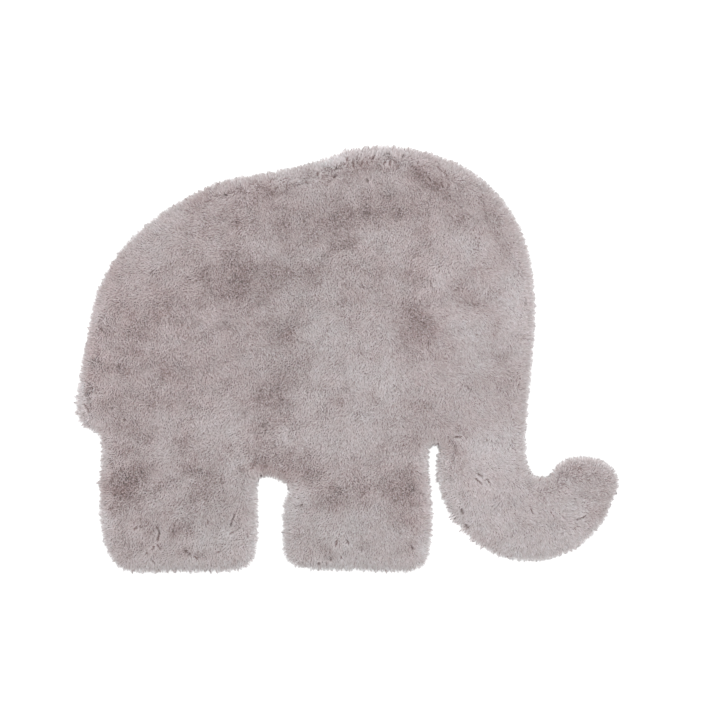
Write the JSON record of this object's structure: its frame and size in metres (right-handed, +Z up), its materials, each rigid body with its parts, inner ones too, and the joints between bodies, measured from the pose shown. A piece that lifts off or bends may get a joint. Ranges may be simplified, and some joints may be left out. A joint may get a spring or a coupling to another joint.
{
  "type": "elephant shaped plush kids rug",
  "caption": "Flat one-piece floor rug of dense soft pile in the shape of an elephant seen from its side, with a lumpy top and soft locks of pile around its rim.",
  "frame": {"origin": "middle of the rug's bounding box, at the floor", "axes": "+X from the tail to the trunk, along the rug's longest side; +Y from the feet to the crown of the head; +Z up out of the pile"},
  "size_m": [1.2978, 1.0252, 0.03],
  "materials": {
    "plush_pile": "dense soft cut pile, matt with a faint sheen, mauve grey"
  },
  "bodies": {
    "root": {"elephant_rug": "plush_pile"}
  },
  "joints": []
}
